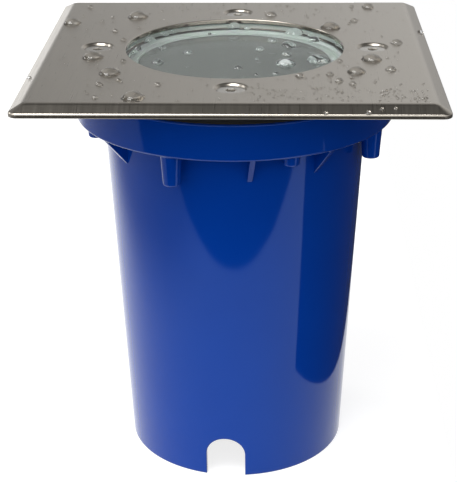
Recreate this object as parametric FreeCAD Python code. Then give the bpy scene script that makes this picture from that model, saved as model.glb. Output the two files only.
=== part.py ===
import FreeCAD, Part
import math
import os

from FreeCAD import Vector

# In-ground well light: a square pressed steel cover with a round window, over a round black lamp
# housing that stands in a blue moulded sleeve. The sleeve is set into the ground for good, the
# luminaire lifts out of it, and the cover lifts off to reach the lamp.
# Millimetres, +Z up. The origin is the centre of the sleeve's open foot. The cable notch faces -Y,
# and every azimuth is counted from -Y towards +X.

# --- Mounting sleeve -------------------------------------------------------------------------
sleeve_height = 112.4          # foot to the collar's top edge
collar_screw_margin = 6.5      # cover screws' circle to the collar's outside
collar_height = 10.0
collar_wall = 2.2
collar_edge_round = 0.7
cup_floor = 2.2                # shelf inside the collar
body_foot_radius = 32.0        # outside, at the foot
sleeve_wall = 2.5

boss_set_in = 4.0              # collar's outside to the middle of the bosses
long_boss_azimuth = -22.5
long_boss_length = 8.8
long_boss_radius = 3.0
long_boss_tip_radius = 2.4
short_boss_azimuth = 22.5
short_boss_length = 3.1
short_boss_radius = 2.45
short_boss_tip_radius = 2.2
boss_pilot_radius = 1.25
boss_tip_wall = 1.4
boss_count = 4                 # of each kind

gusset_thickness = 1.4
gusset_height = 8.5
gusset_set_in = 1.0            # collar's outside to the top of a gusset's slope
gusset_spread = 15.0           # degrees from a short boss to the gusset on either side of it

notch_azimuth = -4.4
notch_width = 11.2
notch_height = 12.5

# --- Cover -----------------------------------------------------------------------------------
cover_side = 110.0
cover_corner = 2.5
cover_top_corner = 1.0
cover_sheet = 1.2
cover_drop = 3.0               # top face to the rim's lower edge
bevel_width = 3.5
bevel_drop = 1.85
bevel_round = 1.2
cover_gap = 0.3                # housing's top face to the cover's underside
window_lap = 2.0               # cover's hold on the glass
window_edge_round = 0.3

# --- Cover screws, M4 countersunk with a hexagon socket --------------------------------------
screw_set_off = 5.15           # housing's glass pocket to a screw's axis
screw_count = 4
screw_radius = 2.0
screw_length = 6.0
screw_sink = 0.6               # head's top below the cover's top face
screw_socket_width = 2.5       # across flats
screw_socket_depth = 1.5
screw_seat_gap = 0.05
dimple_radius = 4.4
dimple_hole_radius = 2.25
dimple_foot = 2.9              # cover's top face to the pressed dimple's lower end
dimple_gap = 0.25              # dimple to the recess in the housing
insert_radius = 2.9
insert_depth = 2.2             # housing's top face to the insert
insert_bore_gap = 0.08
screw_tip_room = 1.1           # insert's bore below the screw's tip

# --- Window glass, gasket, ring and diffuser -------------------------------------------------
glass_overhang = 0.2           # beyond the ring's flange
glass_thickness = 8.0
glass_edge_bevel = 0.5
gasket_wall = 0.6
gasket_top_lip = 0.3
gasket_low_lip = 0.6
gasket_set_back = 0.5          # lips' inner edge behind the window's edge
gasket_glass_gap = 0.05
pocket_gap = 0.3               # gasket to the wall of the housing's pocket

ring_flange_width = 1.8
ring_flange_thickness = 1.2
ring_wall = 3.2                # beside the diffuser
ring_bore_gap = 0.7
ring_depth = 9.0
ring_skirt_wall = 1.4
ring_ledge_thickness = 1.4
ring_seat_gap = 0.2
diffuser_radius = 27.0
diffuser_thickness = 2.0
diffuser_gap = 0.2

# --- Lamp housing ----------------------------------------------------------------------------
flange_set_back = 1.0          # behind the collar's outside
flange_height = 6.5            # above the sleeve's collar
flange_edge_round = 0.6
spigot_depth = 5.5             # flange's stem inside the collar
spigot_gap = 0.5
housing_wall = 2.2
housing_floor = 3.0
housing_foot_round = 2.0
housing_sleeve_gap = 1.4
core_inner_wall = 2.05
core_outer_wall = 2.1
core_roof = 3.6                # left over the moulding's hollow under the flange
core_rib_thickness = 1.6
core_rib_count = 12
insert_boss_wall = 1.5

# --- Lamp, 50 mm reflector with a twist-lock base --------------------------------------------
lamp_radius = 25.0
lamp_rim_height = 4.0
lamp_shell_wall = 1.4
lamp_neck_radius = 13.4
lamp_belly_reach = 0.78        # of the way from the neck's radius to the rim's
lamp_belly_rise = 0.36         # of the way from the rim's foot to the neck
lamp_neck_depth = 34.5         # lamp's front to the base
lamp_base_height = 12.5
lamp_base_radius = 12.4
lamp_base_foot_radius = 11.4
lamp_front_gap = 0.4
lamp_ring_gap = 0.3
lens_thickness = 1.5
lens_gap = 0.1
pin_spacing = 10.0
pin_neck_radius = 1.6
pin_head_radius = 2.5
pin_neck_length = 3.5
pin_head_length = 3.5
lamp_lock_turn = 20.0          # degrees from locked to free

# --- Lamp socket -----------------------------------------------------------------------------
socket_radius = 14.0
socket_height = 17.3
socket_edge_round = 0.8
socket_lamp_gap = 0.3
socket_skin = 2.6
pin_slot_gap = 0.3
pin_chamber_depth = 9.0
contact_thickness = 1.5
contact_gap = 0.25
socket_screw_offset = 9.5
socket_screw_sink = 4.0

# --- Bracket, small screws and terminal block ------------------------------------------------
bracket_thickness = 1.5
bracket_ear_reach = 8.0        # socket's wall to the ear's screw
bracket_ear_radius = 5.0
bracket_pad_margin = 0.6
bracket_room = 9.9             # housing's floor to the bracket
bracket_cable_hole = 6.0
small_screw_radius = 1.5
small_screw_head_radius = 2.8
small_screw_head_height = 1.9
small_screw_grip = 6.0
small_screw_gap = 0.15
thread_gap = 0.05
pillar_radius = 3.4
pillar_bore_room = 0.8

block_width = 19.0
block_depth = 8.5
block_height = 12.0
block_socket_gap = 2.0
block_round = 0.8
pole_spacing = 10.0
pole_height = 4.0
lead_radius = 1.1
lead_hole_gap = 0.15
lead_grip = 2.0
pole_screw_radius = 1.5
pole_screw_length = 5.5

# --- Cable gland -----------------------------------------------------------------------------
gland_thread_radius = 8.0
gland_hole_gap = 0.15
gland_washer_width = 2.45      # bore to outside
gland_hex_height = 4.5
gland_top_stub = 6.0           # above the housing's floor
gland_low_stub = 8.0
gland_wall = 2.8
gland_washer_thickness = 1.5
gland_washer_set_back = 0.4    # behind the hexagon's flats
locknut_height = 4.5
cap_height = 12.0
cap_gap = 0.3
cap_thread_gap = 0.08
cap_round = 2.0
cap_mouth_gap = 1.1
cap_mouth_wall = 1.8
cable_radius = 3.5
seal_gap = 0.2
seal_length = 9.0
seal_lift = 0.2

# --- Radii that follow, from the lamp outwards -----------------------------------------------
ring_outer_radius = diffuser_radius + diffuser_gap + ring_wall
ring_flange_radius = ring_outer_radius + ring_flange_width
glass_radius = ring_flange_radius + glass_overhang
window_radius = glass_radius - window_lap
gasket_lip_radius = window_radius + gasket_set_back
gasket_radius = glass_radius + gasket_glass_gap + gasket_wall
pocket_radius = gasket_radius + pocket_gap
screw_circle = pocket_radius + screw_set_off

collar_radius = screw_circle + collar_screw_margin
cup_radius = collar_radius - collar_wall
spigot_radius = cup_radius - spigot_gap
flange_radius = collar_radius - flange_set_back
boss_circle = collar_radius - boss_set_in
housing_top_radius = ring_outer_radius + ring_bore_gap + housing_wall
body_top_radius = housing_top_radius + housing_sleeve_gap + sleeve_wall

bracket_ear_offset = socket_radius + bracket_ear_reach
gland_bore_radius = gland_thread_radius - gland_wall
gland_hole_radius = gland_thread_radius + gland_hole_gap
gland_washer_radius = gland_hole_radius + gland_washer_width
gland_hex_width = 2 * (gland_washer_radius + gland_washer_set_back)

# --- Heights that follow, from the collar up and from the glass down -------------------------
collar_foot = sleeve_height - collar_height
shelf_top = collar_foot + cup_floor

housing_top = sleeve_height + flange_height
spigot_foot = sleeve_height - spigot_depth

cover_under = housing_top + cover_gap
cover_top = cover_under + cover_sheet
screw_top = cover_top - screw_sink
screw_tip = screw_top - screw_length
insert_top = housing_top - insert_depth
insert_foot = screw_tip - screw_tip_room
glass_top = cover_under - gasket_top_lip
glass_foot = glass_top - glass_thickness
gasket_foot = glass_foot - gasket_low_lip

ring_top = gasket_foot
ring_foot = ring_top - ring_depth
diffuser_foot = ring_top - diffuser_thickness
ledge_foot = diffuser_foot - ring_ledge_thickness

lamp_front = diffuser_foot - lamp_front_gap
lamp_neck = lamp_front - lamp_neck_depth
lamp_foot = lamp_neck - lamp_base_height
pin_foot = lamp_foot - pin_neck_length - pin_head_length

socket_top = lamp_foot - socket_lamp_gap
socket_foot = socket_top - socket_height
chamber_foot = socket_top - pin_chamber_depth
bracket_foot = socket_foot - bracket_thickness
floor_top = bracket_foot - bracket_room
housing_foot = floor_top - housing_floor

block_front = socket_radius + block_socket_gap
block_back = block_front + block_depth
block_top = socket_foot + block_height
lead_height = socket_foot + pole_height

washer_foot = housing_foot - gland_washer_thickness
hex_foot = washer_foot - gland_hex_height
cap_top = hex_foot - cap_gap
cap_foot = cap_top - cap_height
seal_foot = cap_foot + cap_mouth_wall + seal_lift


# --- Shape helpers ---------------------------------------------------------------------------
def revolved(profile):
    """Solid of revolution about Z from (radius, height) corners."""
    corners = [Vector(radius, 0, height) for radius, height in profile]
    face = Part.Face(Part.makePolygon(corners + corners[:1]))
    return face.revolve(Vector(0, 0, 0), Vector(0, 0, 1), 360)


def disc(radius, low, high, x=0.0, y=0.0):
    return Part.makeCylinder(radius, high - low, Vector(x, y, low))


def tube(outer, inner, low, high):
    return disc(outer, low, high).cut(disc(inner, low, high))


def cone(low_radius, high_radius, low, high, x=0.0, y=0.0):
    return Part.makeCone(low_radius, high_radius, high - low, Vector(x, y, low))


def block(x, y, z):
    """Box from three (low, high) pairs."""
    size = [high - low for low, high in (x, y, z)]
    return Part.makeBox(*size, Vector(x[0], y[0], z[0]))


def prism(corners, height):
    """Upright prism on a flat polygon."""
    face = Part.Face(Part.makePolygon(corners + corners[:1]))
    return face.extrude(Vector(0, 0, height))


def hexagon(width, low, high, x=0.0, y=0.0):
    """Hexagonal prism, width across flats, with two corners on its X axis."""
    reach = width / math.sqrt(3)
    turns = [math.radians(60 * corner) for corner in range(6)]
    corners = [Vector(x + reach * math.cos(a), y + reach * math.sin(a), low) for a in turns]
    return prism(corners, high - low)


def turned(shape, azimuth):
    copy = shape.copy()
    copy.rotate(Vector(0, 0, 0), Vector(0, 0, 1), azimuth)
    return copy


def pattern(shape, count, first=0.0):
    """Copies of a shape, evenly spaced round Z."""
    return [turned(shape, first + 360.0 * place / count) for place in range(count)]


def joined(shapes):
    return shapes[0].fuse(shapes[1:]).removeSplitter()


def group(shapes):
    return Part.makeCompound(shapes)


def rounded(shape, radius, chosen):
    """Shape with a fillet on each edge that the test picks."""
    edges = [edge for edge in shape.Edges if chosen(edge)]
    return shape.makeFillet(radius, edges)


def circle_at(radius, height):
    """Test for the whole circles of one radius and height."""
    def chosen(edge):
        curve = edge.Curve
        if not isinstance(curve, Part.Circle):
            return False
        return abs(curve.Radius - radius) < 1e-4 and abs(curve.Center.z - height) < 1e-4
    return chosen


def level_edge(height):
    """Test for edges that lie at one height."""
    def chosen(edge):
        box = edge.BoundBox
        return abs(box.ZMin - height) < 1e-4 and abs(box.ZMax - height) < 1e-4
    return chosen


def rounded_square(side, corner, height):
    """Closed outline of a square with quarter-round corners."""
    half = side / 2
    inner = half - corner
    diagonal = inner + corner * math.sqrt(0.5)
    edges = []
    for quarter in range(4):
        straight = Part.LineSegment(Vector(-inner, -half, 0), Vector(inner, -half, 0)).toShape()
        bend = Part.Arc(
            Vector(inner, -half, 0),
            Vector(diagonal, -diagonal, 0),
            Vector(half, -inner, 0),
        ).toShape()
        edges += [turned(straight, 90 * quarter), turned(bend, 90 * quarter)]
    outline = Part.Wire(edges)
    outline.translate(Vector(0, 0, height))
    return outline


# --- Mounting sleeve -------------------------------------------------------------------------
def sleeve_radius(height):
    """Outer radius of the tapered body."""
    share = height / collar_foot
    return body_foot_radius + (body_top_radius - body_foot_radius) * share


def sleeve_bore(height):
    return sleeve_radius(height) - sleeve_wall


def sleeve_shell():
    shell = revolved([
        (sleeve_bore(0), 0),
        (body_foot_radius, 0),
        (body_top_radius, collar_foot),
        (collar_radius, collar_foot),
        (collar_radius, sleeve_height),
        (cup_radius, sleeve_height),
        (cup_radius, shelf_top),
        (sleeve_bore(shelf_top), shelf_top),
    ])
    return rounded(shell, collar_edge_round, circle_at(collar_radius, collar_foot))


def sleeve_boss(root_radius, tip_radius, length):
    """Tapered boss under the collar, on the front side."""
    return cone(tip_radius, root_radius, collar_foot - length, collar_foot, y=-boss_circle)


def boss_pilot(length):
    """Blind hole from the shelf down into a boss."""
    low = collar_foot - length + boss_tip_wall
    return disc(boss_pilot_radius, low, shelf_top, y=-boss_circle)


def sleeve_gusset():
    """Triangular web between body and collar, on the front side."""
    foot = collar_foot - gusset_height
    side = [
        Vector(0, -sleeve_radius(foot), foot),
        Vector(0, gusset_set_in - collar_radius, collar_foot),
        Vector(0, -sleeve_bore(collar_foot) - sleeve_wall / 2, collar_foot),
        Vector(0, -sleeve_bore(foot) - sleeve_wall / 2, foot),
    ]
    web = Part.Face(Part.makePolygon(side + side[:1])).extrude(Vector(gusset_thickness, 0, 0))
    web.translate(Vector(-gusset_thickness / 2, 0, 0))
    return web


def cable_notch():
    """Round-topped cutter for the cable's way out at the foot."""
    half = notch_width / 2
    arch_height = notch_height - half
    outside = -body_top_radius
    inside = -body_foot_radius / 2
    slot = block((-half, half), (outside, inside), (-half, arch_height))
    arch = Part.makeCylinder(half, inside - outside, Vector(0, outside, arch_height), Vector(0, 1, 0))
    return turned(slot.fuse(arch), notch_azimuth)


def mounting_sleeve():
    long_boss = sleeve_boss(long_boss_radius, long_boss_tip_radius, long_boss_length)
    short_boss = sleeve_boss(short_boss_radius, short_boss_tip_radius, short_boss_length)
    added = pattern(long_boss, boss_count, long_boss_azimuth)
    added += pattern(short_boss, boss_count, short_boss_azimuth)
    for side in (-gusset_spread, gusset_spread):
        added += pattern(sleeve_gusset(), boss_count, short_boss_azimuth + side)
    cutters = pattern(boss_pilot(long_boss_length), boss_count, long_boss_azimuth)
    cutters += pattern(boss_pilot(short_boss_length), boss_count, short_boss_azimuth)
    return joined([sleeve_shell()] + added).cut(cutters + [cable_notch()])


# --- Cover -----------------------------------------------------------------------------------
def cover_blank():
    """Pressed square tray, open underneath, of one sheet thickness all over."""
    slope = math.atan2(bevel_drop, bevel_width)
    bevel_foot = cover_top - bevel_drop
    rim_foot = cover_top - cover_drop
    outside = Part.makeLoft([
        rounded_square(cover_side, cover_corner, rim_foot),
        rounded_square(cover_side, cover_corner, bevel_foot),
        rounded_square(cover_side - 2 * bevel_width, cover_top_corner, cover_top),
    ], True, True)
    outside = rounded(outside, bevel_round, level_edge(cover_top))

    inner_side = cover_side - 2 * cover_sheet
    inner_corner = cover_corner - cover_sheet
    inner_flat = cover_side - 2 * bevel_width - 2 * cover_sheet * math.tan(slope / 2)
    inner_drop = (cover_sheet + math.sin(slope) * (bevel_width - cover_sheet)) / math.cos(slope)
    inside = Part.makeLoft([
        rounded_square(inner_side, inner_corner, rim_foot - cover_sheet),
        rounded_square(inner_side, inner_corner, cover_top - inner_drop),
        rounded_square(inner_flat, inner_corner, cover_under),
    ], True, True)
    return outside.cut(inside)


def dimple_cone(extra):
    """Cone of a right angle that follows the dimple, grown outwards by a thickness."""
    swell = extra * math.sqrt(2)
    foot = cover_top - dimple_foot
    foot_radius = dimple_radius + swell - dimple_foot
    return cone(foot_radius, dimple_radius + swell, foot, cover_top, y=-screw_circle)


def screw_dimple_cut():
    """Countersink and through hole of one dimple."""
    cone_depth = dimple_radius - dimple_hole_radius
    sink = cone(dimple_hole_radius, dimple_radius, cover_top - cone_depth, cover_top, y=-screw_circle)
    hole = disc(dimple_hole_radius, cover_top - dimple_foot, cover_top, y=-screw_circle)
    return sink.fuse(hole)


def cover_plate():
    dimples = pattern(dimple_cone(cover_sheet), screw_count)
    pressed = joined([cover_blank()] + [dimple.common(cover_slab()) for dimple in dimples])
    plate = pressed.cut([disc(window_radius, cover_under, cover_top)])
    plate = rounded(plate, window_edge_round, circle_at(window_radius, cover_top))
    return plate.cut(pattern(screw_dimple_cut(), screw_count))


def cover_slab():
    """Space below the cover's top face that a pressed dimple may fill."""
    half = cover_side / 2
    return block((-half, half), (-half, half), (cover_top - dimple_foot, cover_top - cover_sheet / 2))


def cover_screw():
    """One countersunk screw, on the front side."""
    head_radius = dimple_radius - screw_sink - screw_seat_gap
    neck = screw_top - (head_radius - screw_radius)
    screw = cone(screw_radius, head_radius, neck, screw_top, y=-screw_circle)
    screw = screw.fuse(disc(screw_radius, screw_tip, neck, y=-screw_circle))
    floor = screw_top - screw_socket_depth
    socket = hexagon(screw_socket_width, floor, screw_top, y=-screw_circle)
    return screw.cut(socket)


def cover_screws():
    return group(pattern(cover_screw(), screw_count))


def screw_insert():
    """Brass bush that takes a cover screw, on the front side."""
    bore_radius = screw_radius + insert_bore_gap
    bush = disc(insert_radius, insert_foot, insert_top, y=-screw_circle)
    return bush.cut(disc(bore_radius, insert_foot, insert_top, y=-screw_circle))


def screw_inserts():
    return group(pattern(screw_insert(), screw_count))


# --- Window ----------------------------------------------------------------------------------
def window_glass():
    glass = disc(glass_radius, glass_foot, glass_top)
    edges = [edge for edge in glass.Edges if isinstance(edge.Curve, Part.Circle)]
    return glass.makeChamfer(glass_edge_bevel, edges)


def glass_gasket():
    """Rubber channel round the glass's edge."""
    wall_inner = glass_radius + gasket_glass_gap
    return revolved([
        (gasket_lip_radius, glass_top),
        (gasket_lip_radius, cover_under),
        (gasket_radius, cover_under),
        (gasket_radius, gasket_foot),
        (gasket_lip_radius, gasket_foot),
        (gasket_lip_radius, glass_foot),
        (wall_inner, glass_foot),
        (wall_inner, glass_top),
    ])


def trim_ring():
    """Pale ring round the lamp's face, carrying the diffuser on its inner ledge."""
    seat_radius = diffuser_radius + diffuser_gap
    ledge_radius = lamp_radius + lamp_ring_gap
    flange_foot = ring_top - ring_flange_thickness
    skirt_radius = ring_outer_radius - ring_skirt_wall
    return revolved([
        (seat_radius, ring_top),
        (ring_flange_radius, ring_top),
        (ring_flange_radius, flange_foot),
        (ring_outer_radius, flange_foot),
        (ring_outer_radius, ring_foot),
        (skirt_radius, ring_foot),
        (skirt_radius, ledge_foot),
        (ledge_radius, ledge_foot),
        (ledge_radius, diffuser_foot),
        (seat_radius, diffuser_foot),
    ])


def lamp_diffuser():
    return disc(diffuser_radius, diffuser_foot, ring_top)


# --- Lamp housing ----------------------------------------------------------------------------
def housing_radius(height):
    """Outer radius of the housing's tube, a steady gap inside the sleeve."""
    return sleeve_bore(min(height, shelf_top)) - housing_sleeve_gap


def housing_shell():
    rebate_radius = ring_flange_radius + ring_seat_gap
    rebate_foot = ring_top - ring_flange_thickness
    shell = revolved([
        (0, housing_foot),
        (housing_radius(housing_foot), housing_foot),
        (housing_radius(shelf_top), spigot_foot),
        (spigot_radius, spigot_foot),
        (spigot_radius, sleeve_height),
        (flange_radius, sleeve_height),
        (flange_radius, housing_top),
        (pocket_radius, housing_top),
        (pocket_radius, gasket_foot),
        (rebate_radius, gasket_foot),
        (rebate_radius, rebate_foot),
        (housing_radius(shelf_top) - housing_wall, rebate_foot),
        (housing_radius(floor_top) - housing_wall, floor_top),
        (0, floor_top),
    ])
    shell = rounded(shell, flange_edge_round, circle_at(flange_radius, housing_top))
    foot_edge = circle_at(housing_radius(housing_foot), housing_foot)
    return rounded(shell, housing_foot_round, foot_edge)


def flange_coring():
    """Hollows moulded under the flange, between its ribs and its insert bosses."""
    roof = housing_top - core_roof
    outer = spigot_radius - core_outer_wall
    inner = pocket_radius + core_inner_wall
    channel = tube(outer, inner, spigot_foot, roof)
    rib = block(
        (-core_rib_thickness / 2, core_rib_thickness / 2),
        (-outer - core_rib_thickness, -inner + core_rib_thickness),
        (spigot_foot, roof),
    )
    boss = disc(insert_radius + insert_boss_wall, spigot_foot, roof, y=-screw_circle)
    half_step = 180.0 / core_rib_count
    return channel.cut(pattern(rib, core_rib_count, half_step) + pattern(boss, screw_count))


def insert_hole():
    """Room for one dimple and the insert below it, on the front side."""
    recess = dimple_cone(cover_sheet + dimple_gap)
    recess.translate(Vector(0, 0, -dimple_gap))
    bore = disc(insert_radius, insert_foot, insert_top, y=-screw_circle)
    mouth = disc(insert_radius, insert_top, cover_top - dimple_foot, y=-screw_circle)
    return joined([recess, bore, mouth])


def bracket_pillar():
    """Boss on the housing's floor under one bracket ear, on the +X side."""
    return disc(pillar_radius, floor_top, bracket_foot, x=bracket_ear_offset)


def pillar_bore():
    low = socket_foot - small_screw_grip - pillar_bore_room
    return disc(small_screw_radius + thread_gap, low, bracket_foot, x=bracket_ear_offset)


def lamp_housing():
    gland_hole = disc(gland_hole_radius, housing_foot, floor_top)
    shell = joined([housing_shell()] + pattern(bracket_pillar(), 2))
    cutters = pattern(insert_hole(), screw_count) + pattern(pillar_bore(), 2)
    return shell.cut(cutters + [flange_coring(), gland_hole])


# --- Lamp ------------------------------------------------------------------------------------
def bell_profile(rim_radius, rim_foot, neck_radius, neck_height):
    """Curve of a reflector from its rim in to its neck."""
    belly_radius = neck_radius + lamp_belly_reach * (rim_radius - neck_radius)
    belly_height = rim_foot + lamp_belly_rise * (neck_height - rim_foot)
    return Part.Arc(
        Vector(rim_radius, 0, rim_foot),
        Vector(belly_radius, 0, belly_height),
        Vector(neck_radius, 0, neck_height),
    ).toShape()


def line(start, end):
    return Part.makeLine(Vector(start[0], 0, start[1]), Vector(end[0], 0, end[1]))


def lamp_bell(radius, neck_radius, front, neck):
    """Solid bell: short rim cylinder, curved flank and flat ends."""
    rim_foot = lamp_front - lamp_rim_height
    outline = Part.Wire([
        line((0, front), (radius, front)),
        line((radius, front), (radius, rim_foot)),
        bell_profile(radius, rim_foot, neck_radius, neck),
        line((neck_radius, neck), (0, neck)),
        line((0, neck), (0, front)),
    ])
    return Part.Face(outline).revolve(Vector(0, 0, 0), Vector(0, 0, 1), 360)


def lamp_reflector():
    """Hollow bell with a step inside its rim for the lens."""
    outside = lamp_bell(lamp_radius, lamp_neck_radius, lamp_front, lamp_neck)
    inside = lamp_bell(
        lamp_radius - lamp_shell_wall,
        lamp_neck_radius - lamp_shell_wall,
        lamp_front,
        lamp_neck + lamp_shell_wall,
    )
    return outside.cut(inside)


def lamp_lens():
    radius = lamp_radius - lamp_shell_wall - lens_gap
    return disc(radius, lamp_front - lens_thickness, lamp_front)


def lamp_base():
    return cone(lamp_base_foot_radius, lamp_base_radius, lamp_foot, lamp_neck)


def lamp_pin():
    """Headed contact pin, on the +X side."""
    x = pin_spacing / 2
    neck_foot = lamp_foot - pin_neck_length
    neck = disc(pin_neck_radius, neck_foot, lamp_foot, x=x)
    return neck.fuse(disc(pin_head_radius, pin_foot, neck_foot, x=x))


def lamp_pins():
    return group(pattern(lamp_pin(), 2))


# --- Lamp socket -----------------------------------------------------------------------------
def arc_slot(half_width, low, high):
    """Slot that a pin sweeps from locked to free, on the +X side."""
    middle = pin_spacing / 2
    face = Part.Face(Part.makePolygon([
        Vector(middle - half_width, 0, low),
        Vector(middle + half_width, 0, low),
        Vector(middle + half_width, 0, high),
        Vector(middle - half_width, 0, high),
        Vector(middle - half_width, 0, low),
    ]))
    sweep = face.revolve(Vector(0, 0, 0), Vector(0, 0, 1), lamp_lock_turn)
    end = disc(half_width, low, high, x=middle)
    return joined([sweep, end, turned(end, lamp_lock_turn)])


def pin_way():
    """Keyhole in the socket's face with the wider chamber behind it."""
    neck_slot = arc_slot(pin_neck_radius + pin_slot_gap, chamber_foot, socket_top)
    chamber = arc_slot(pin_head_radius + pin_slot_gap, chamber_foot, socket_top - socket_skin)
    entry_radius = pin_head_radius + pin_slot_gap
    entry = disc(entry_radius, chamber_foot, socket_top, x=pin_spacing / 2)
    return joined([neck_slot, chamber, turned(entry, lamp_lock_turn)])


def socket_screw_cut():
    """Counterbored through hole, on the front side."""
    y = -socket_screw_offset
    shank = disc(small_screw_radius + small_screw_gap, socket_foot, socket_top, y=y)
    seat = socket_top - socket_screw_sink
    return shank.fuse(disc(small_screw_head_radius + small_screw_gap, seat, socket_top, y=y))


def lead_hole(x):
    """Hole for one lead in the socket's rear wall."""
    return lead(x, lead_radius + lead_hole_gap, block_front)


def lead(x, radius, end):
    start = block_front - block_socket_gap - 2 * lead_grip
    return Part.makeCylinder(radius, end - start, Vector(x, start, lead_height), Vector(0, 1, 0))


def lamp_socket():
    body = disc(socket_radius, socket_foot, socket_top)
    body = rounded(body, socket_edge_round, circle_at(socket_radius, socket_top))
    lead_holes = [lead_hole(-pole_spacing / 2), lead_hole(pole_spacing / 2)]
    return body.cut(pattern(pin_way(), 2) + pattern(socket_screw_cut(), 2) + lead_holes)


def socket_contacts():
    """Curved plates on the floors of the two pin chambers."""
    half_width = pin_head_radius + pin_slot_gap - contact_gap
    plate = arc_slot(half_width, chamber_foot, chamber_foot + contact_thickness)
    return group(pattern(plate, 2))


# --- Bracket, small screws and terminal block ------------------------------------------------
def socket_bracket():
    """Flat steel bracket on the housing's pillars, under the socket and the terminal block."""
    ear = disc(bracket_ear_radius, bracket_foot, socket_foot, x=bracket_ear_offset)
    strip = block(
        (-bracket_ear_offset, bracket_ear_offset),
        (-bracket_ear_radius, bracket_ear_radius),
        (bracket_foot, socket_foot),
    )
    pad = disc(socket_radius + bracket_pad_margin, bracket_foot, socket_foot)
    tray = block(
        (-block_width / 2, block_width / 2),
        (0, block_back),
        (bracket_foot, socket_foot),
    )
    plate = joined([strip, pad, tray] + pattern(ear, 2))
    hole_radius = small_screw_radius + small_screw_gap
    ear_hole = disc(hole_radius, bracket_foot, socket_foot, x=bracket_ear_offset)
    socket_hole = disc(
        small_screw_radius + thread_gap, bracket_foot, socket_foot, y=-socket_screw_offset
    )
    block_hole = disc(
        small_screw_radius + thread_gap, bracket_foot, socket_foot, y=block_middle()
    )
    cable_hole = disc(bracket_cable_hole, bracket_foot, socket_foot)
    holes = pattern(ear_hole, 2) + pattern(socket_hole, 2)
    return plate.cut(holes + [block_hole, cable_hole])


def small_screw(seat, tip, x=0.0, y=0.0):
    """Pan-headed screw from its seat down to its tip."""
    head = disc(small_screw_head_radius, seat, seat + small_screw_head_height, x=x, y=y)
    return head.fuse(disc(small_screw_radius, tip, seat, x=x, y=y))


def bracket_screws():
    screw = small_screw(socket_foot, socket_foot - small_screw_grip, x=bracket_ear_offset)
    return group(pattern(screw, 2))


def socket_screws():
    seat = socket_top - socket_screw_sink
    screw = small_screw(seat, bracket_foot, y=-socket_screw_offset)
    return group(pattern(screw, 2))


def block_middle():
    return (block_front + block_back) / 2


def block_screw():
    seat = block_top - small_screw_head_height
    return small_screw(seat, bracket_foot, y=block_middle())


def terminal_block():
    """Two-pole block with its wire ways front to back and its clamp screws on top."""
    body = block(
        (-block_width / 2, block_width / 2),
        (block_front, block_back),
        (socket_foot, block_top),
    )
    upright = [edge for edge in body.Edges if edge.BoundBox.ZLength > block_height / 2]
    body = body.makeFillet(block_round, upright)
    middle = block_middle()
    shank = disc(small_screw_radius + small_screw_gap, socket_foot, block_top, y=middle)
    seat = block_top - small_screw_head_height
    head = disc(small_screw_head_radius + small_screw_gap, seat, block_top, y=middle)
    cutters = [shank, head]
    for x in (-pole_spacing / 2, pole_spacing / 2):
        way = Part.makeCylinder(
            lead_radius + lead_hole_gap,
            block_depth,
            Vector(x, block_front, lead_height),
            Vector(0, 1, 0),
        )
        cutters += [way, disc(pole_screw_radius + thread_gap, lead_height, block_top, x=x, y=middle)]
    return body.cut(cutters)


def terminal_screws():
    """Clamp screws, their tips down in the wire ways."""
    screws = []
    for x in (-pole_spacing / 2, pole_spacing / 2):
        tip = block_top - pole_screw_length
        screws.append(disc(pole_screw_radius, tip, block_top, x=x, y=block_middle()))
    return group(screws)


def lead_wires():
    """Two short leads from the socket into the terminal block."""
    end = block_front + lead_grip
    return group([lead(x, lead_radius, end) for x in (-pole_spacing / 2, pole_spacing / 2)])


# --- Cable gland -----------------------------------------------------------------------------
def gland_body():
    """Hexagon flange with a threaded stub above, through the floor, and one below for the cap."""
    top = floor_top + gland_top_stub
    low = hex_foot - gland_low_stub
    stub = disc(gland_thread_radius, low, top)
    body = stub.fuse(hexagon(gland_hex_width, hex_foot, washer_foot))
    return body.cut(disc(gland_bore_radius, low, top))


def gland_washer():
    return tube(gland_washer_radius, gland_hole_radius, washer_foot, housing_foot)


def gland_locknut():
    nut = hexagon(gland_hex_width, floor_top, floor_top + locknut_height)
    return nut.cut(disc(gland_thread_radius + thread_gap, floor_top, floor_top + locknut_height))


def gland_cap():
    """Domed cap nut that squeezes the seal round the cable."""
    crown = disc(gland_hex_width / math.sqrt(3), cap_foot, cap_top)
    crown = rounded(crown, cap_round, circle_at(gland_hex_width / math.sqrt(3), cap_foot))
    body = crown.common(hexagon(gland_hex_width, cap_foot, cap_top))
    bore = disc(gland_thread_radius + cap_thread_gap, cap_foot + cap_mouth_wall, cap_top)
    mouth = disc(cable_radius + cap_mouth_gap, cap_foot, cap_foot + cap_mouth_wall)
    return body.cut([bore, mouth])


def gland_seal():
    """Rubber sleeve round the cable's way."""
    return tube(gland_bore_radius - seal_gap, cable_radius, seal_foot, seal_foot + seal_length)


# --- Pieces ----------------------------------------------------------------------------------
pieces = {
    "mounting_sleeve": mounting_sleeve,
    "cover_plate": cover_plate,
    "cover_screws": cover_screws,
    "window_glass": window_glass,
    "glass_gasket": glass_gasket,
    "lamp_housing": lamp_housing,
    "screw_inserts": screw_inserts,
    "trim_ring": trim_ring,
    "lamp_diffuser": lamp_diffuser,
    "lamp_reflector": lamp_reflector,
    "lamp_lens": lamp_lens,
    "lamp_base": lamp_base,
    "lamp_pins": lamp_pins,
    "lamp_socket": lamp_socket,
    "socket_contacts": socket_contacts,
    "socket_bracket": socket_bracket,
    "bracket_screws": bracket_screws,
    "socket_screws": socket_screws,
    "terminal_block": terminal_block,
    "terminal_screws": terminal_screws,
    "block_screw": block_screw,
    "lead_wires": lead_wires,
    "gland_body": gland_body,
    "gland_washer": gland_washer,
    "gland_locknut": gland_locknut,
    "gland_cap": gland_cap,
    "gland_seal": gland_seal,
}

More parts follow.
